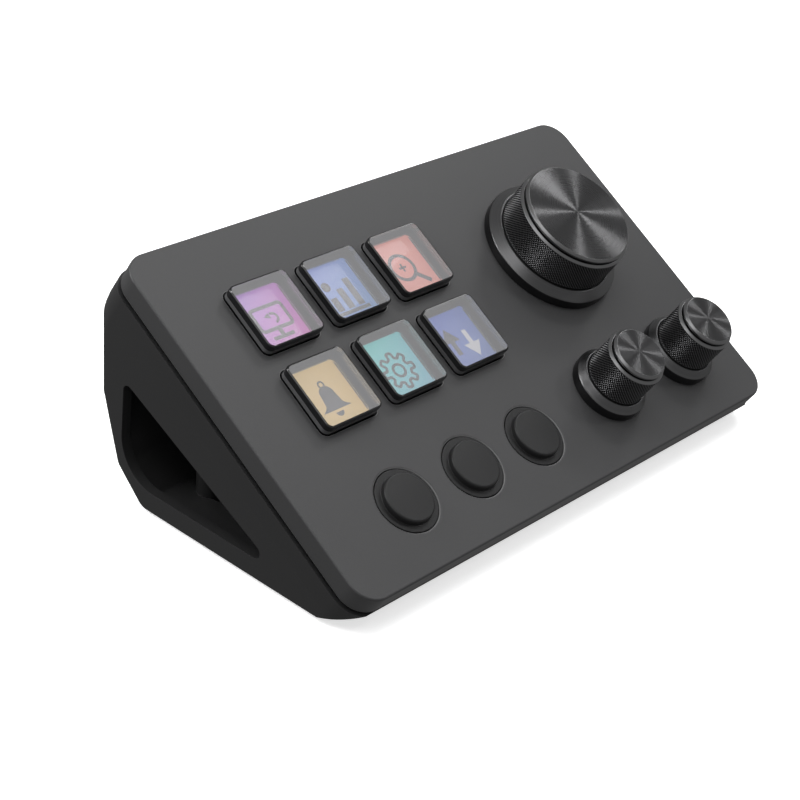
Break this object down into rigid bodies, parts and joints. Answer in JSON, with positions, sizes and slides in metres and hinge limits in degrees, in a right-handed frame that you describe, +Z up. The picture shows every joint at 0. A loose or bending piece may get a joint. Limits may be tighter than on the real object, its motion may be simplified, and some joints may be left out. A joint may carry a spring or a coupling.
{
  "type": "macro keypad",
  "caption": "Sloped desk macro keypad with clear display keys, round push buttons and knurled push dials on a hollow stand with side windows.",
  "frame": {"origin": "centre of the bounding box, at the underside of the feet", "axes": "+X to the user's right along the long side, +Y to the rear, +Z up"},
  "size_m": [0.1198, 0.0658, 0.0483],
  "materials": {
    "faceplate_plastic": "fine satin black-grey plastic",
    "stand_plastic": "matte black plastic",
    "button_plastic": "matte black plastic",
    "inner_plastic": "plain black plastic",
    "clear_acrylic": "polished clear acrylic",
    "display_glass": "display glass",
    "silicone": "soft silicone",
    "foot_rubber": "soft rubber",
    "dark_aluminium": "black anodised aluminium",
    "spun_aluminium": "black anodised, finely turned face",
    "steel": "zinc plated steel",
    "socket_steel": "nickel plated shell",
    "board_laminate": "dark green solder mask",
    "chip_plastic": "black moulded package",
    "film": "amber polyimide film"
  },
  "bodies": {
    "base": {"faceplate": "faceplate_plastic", "stand": "stand_plastic", "bottom_cover": "stand_plastic", "feet": "foot_rubber", "cover_screws": "steel", "case_screws": "steel", "board_screws": "steel", "key_grid": "inner_plastic", "key_membrane": "silicone", "contact_film": "inner_plastic", "display_panel": "display_glass", "display_frame": "inner_plastic", "display_ribbon": "film", "main_board": "board_laminate", "board_parts": "chip_plastic", "power_socket": "socket_steel", "socket_tongue": "inner_plastic", "switch_bodies": "inner_plastic", "encoder_bodies": "steel", "encoder_nuts": "steel", "dial_main_collar": "dark_aluminium", "dial_left_collar": "dark_aluminium", "dial_right_collar": "dark_aluminium"},
    "key_1": {"key_cap_1": "clear_acrylic"},
    "key_2": {"key_cap_2": "clear_acrylic"},
    "key_3": {"key_cap_3": "clear_acrylic"},
    "key_4": {"key_cap_4": "clear_acrylic"},
    "key_5": {"key_cap_5": "clear_acrylic"},
    "key_6": {"key_cap_6": "clear_acrylic"},
    "button_1": {"push_button_1": "button_plastic", "switch_plunger_1": "inner_plastic"},
    "button_2": {"push_button_2": "button_plastic", "switch_plunger_2": "inner_plastic"},
    "button_3": {"push_button_3": "button_plastic", "switch_plunger_3": "inner_plastic"},
    "press_main": {"dial_main_slider": "inner_plastic"},
    "dial_main": {"dial_main_shaft": "steel", "dial_main_body": "dark_aluminium", "dial_main_cap": "spun_aluminium"},
    "press_left": {"dial_left_slider": "inner_plastic"},
    "dial_left": {"dial_left_shaft": "steel", "dial_left_body": "dark_aluminium", "dial_left_cap": "spun_aluminium"},
    "press_right": {"dial_right_slider": "inner_plastic"},
    "dial_right": {"dial_right_shaft": "steel", "dial_right_body": "dark_aluminium", "dial_right_cap": "spun_aluminium"}
  },
  "joints": [
    {"name": "key_1_press", "type": "slide", "parent": "base", "child": "key_1", "axis": [0, 0.5446, -0.8387], "range_m": [0, 0.0005], "stiffness_N_per_m": 600, "springref_m": -0.0003},
    {"name": "key_2_press", "type": "slide", "parent": "base", "child": "key_2", "axis": [0, 0.5446, -0.8387], "range_m": [0, 0.0005], "stiffness_N_per_m": 600, "springref_m": -0.0003},
    {"name": "key_3_press", "type": "slide", "parent": "base", "child": "key_3", "axis": [0, 0.5446, -0.8387], "range_m": [0, 0.0005], "stiffness_N_per_m": 600, "springref_m": -0.0003},
    {"name": "key_4_press", "type": "slide", "parent": "base", "child": "key_4", "axis": [0, 0.5446, -0.8387], "range_m": [0, 0.0005], "stiffness_N_per_m": 600, "springref_m": -0.0003},
    {"name": "key_5_press", "type": "slide", "parent": "base", "child": "key_5", "axis": [0, 0.5446, -0.8387], "range_m": [0, 0.0005], "stiffness_N_per_m": 600, "springref_m": -0.0003},
    {"name": "key_6_press", "type": "slide", "parent": "base", "child": "key_6", "axis": [0, 0.5446, -0.8387], "range_m": [0, 0.0005], "stiffness_N_per_m": 600, "springref_m": -0.0003},
    {"name": "button_1_press", "type": "slide", "parent": "base", "child": "button_1", "axis": [0, 0.5446, -0.8387], "range_m": [0, 0.0005], "stiffness_N_per_m": 1200, "springref_m": -0.0003},
    {"name": "button_2_press", "type": "slide", "parent": "base", "child": "button_2", "axis": [0, 0.5446, -0.8387], "range_m": [0, 0.0005], "stiffness_N_per_m": 1200, "springref_m": -0.0003},
    {"name": "button_3_press", "type": "slide", "parent": "base", "child": "button_3", "axis": [0, 0.5446, -0.8387], "range_m": [0, 0.0005], "stiffness_N_per_m": 1200, "springref_m": -0.0003},
    {"name": "dial_main_press", "type": "slide", "parent": "base", "child": "press_main", "axis": [0, 0.5446, -0.8387], "range_m": [0, 0.0005], "stiffness_N_per_m": 3000, "springref_m": -0.0003},
    {"name": "dial_main_turn", "type": "hinge", "parent": "press_main", "child": "dial_main", "pos_m": [0.03143, 0.00518, 0.03238], "axis": [0, -0.5446, 0.8387], "continuous": true},
    {"name": "dial_left_press", "type": "slide", "parent": "base", "child": "press_left", "axis": [0, 0.5446, -0.8387], "range_m": [0, 0.0005], "stiffness_N_per_m": 3000, "springref_m": -0.0003},
    {"name": "dial_left_turn", "type": "hinge", "parent": "press_left", "child": "dial_left", "pos_m": [0.02001, -0.02041, 0.01576], "axis": [0, -0.5446, 0.8387], "continuous": true},
    {"name": "dial_right_press", "type": "slide", "parent": "base", "child": "press_right", "axis": [0, 0.5446, -0.8387], "range_m": [0, 0.0005], "stiffness_N_per_m": 3000, "springref_m": -0.0003},
    {"name": "dial_right_turn", "type": "hinge", "parent": "press_right", "child": "dial_right", "pos_m": [0.04285, -0.02041, 0.01576], "axis": [0, -0.5446, 0.8387], "continuous": true}
  ]
}
